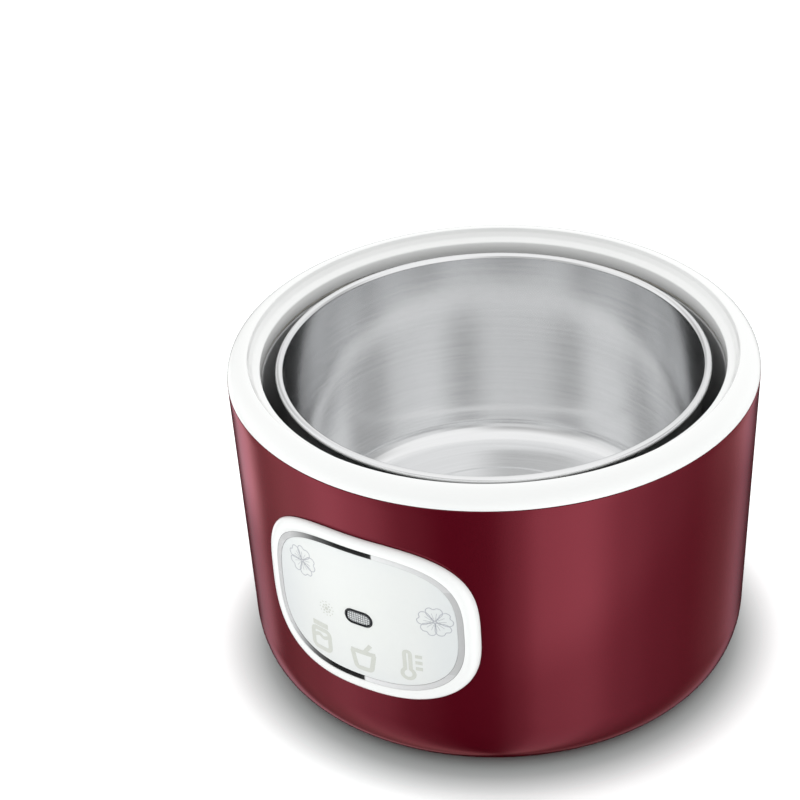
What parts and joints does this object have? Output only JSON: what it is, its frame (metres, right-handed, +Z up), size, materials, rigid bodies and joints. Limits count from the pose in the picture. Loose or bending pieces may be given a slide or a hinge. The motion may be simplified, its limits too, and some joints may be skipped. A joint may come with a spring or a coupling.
{
  "type": "yogurt maker",
  "caption": "Round countertop yogurt maker with a tapered housing, a white rim, a heated well, a lift-out steel pot and a front indicator panel.",
  "frame": {"origin": "on the table, at the point under the housing's axis", "axes": "+Z up along the axis of the housing; -Y is the front, with the indicator panel; +Y is the back, with the power inlet"},
  "size_m": [0.2, 0.2036, 0.1262],
  "materials": {
    "shell": "satin burgundy plastic",
    "white": "glossy white plastic",
    "pearl": "pearl silver printed plate",
    "chrome": "polished",
    "stainless": "polished stainless steel",
    "aluminium": "satin",
    "smoke": "dark grey ring",
    "lens": "clear prismatic lens",
    "black": "matt",
    "rubber": "matt",
    "silicone": "matt silicone",
    "steel": "zinc plated",
    "brass": "plain",
    "circuit": "green circuit board",
    "brown_wire": "brown insulation",
    "blue_wire": "blue insulation",
    "red_wire": "red insulation"
  },
  "bodies": {
    "housing": {"outer_shell": "shell", "rim_ring": "white", "base_cover": "white", "foot_1": "rubber", "foot_2": "rubber", "foot_3": "rubber", "foot_4": "rubber", "base_screw_1": "steel", "base_screw_2": "steel", "base_screw_3": "steel", "base_screw_4": "steel", "well_liner": "aluminium", "well_gasket": "silicone", "liner_screw_1": "steel", "liner_screw_2": "steel", "liner_screw_3": "steel", "heat_plate": "aluminium", "plate_nut_1": "steel", "plate_nut_2": "steel", "plate_nut_3": "steel", "ptc_heater": "aluminium", "heater_bracket": "steel", "thermostat": "black", "thermal_fuse": "silicone", "inlet_housing": "black", "inlet_pin_1": "brass", "inlet_pin_2": "brass", "terminal_block": "white", "live_wire": "brown_wire", "neutral_wire": "blue_wire", "thermostat_lead": "brown_wire", "fuse_lead": "red_wire", "heater_live_lead": "red_wire", "heater_neutral_lead": "blue_wire", "lamp_live_lead": "red_wire", "lamp_neutral_lead": "blue_wire", "panel_frame": "white", "panel_trim": "chrome", "panel_plate": "pearl", "lamp_bezel": "smoke", "lamp_lens": "lens", "lamp_light_box": "black", "lamp_board": "circuit", "lamp_led": "red_wire"},
    "pot": {"inner_pot": "stainless"}
  },
  "joints": [
    {"name": "pot_lift", "type": "slide", "parent": "housing", "child": "pot", "axis": [0, 0, 1], "range_m": [0, 0.13]}
  ]
}
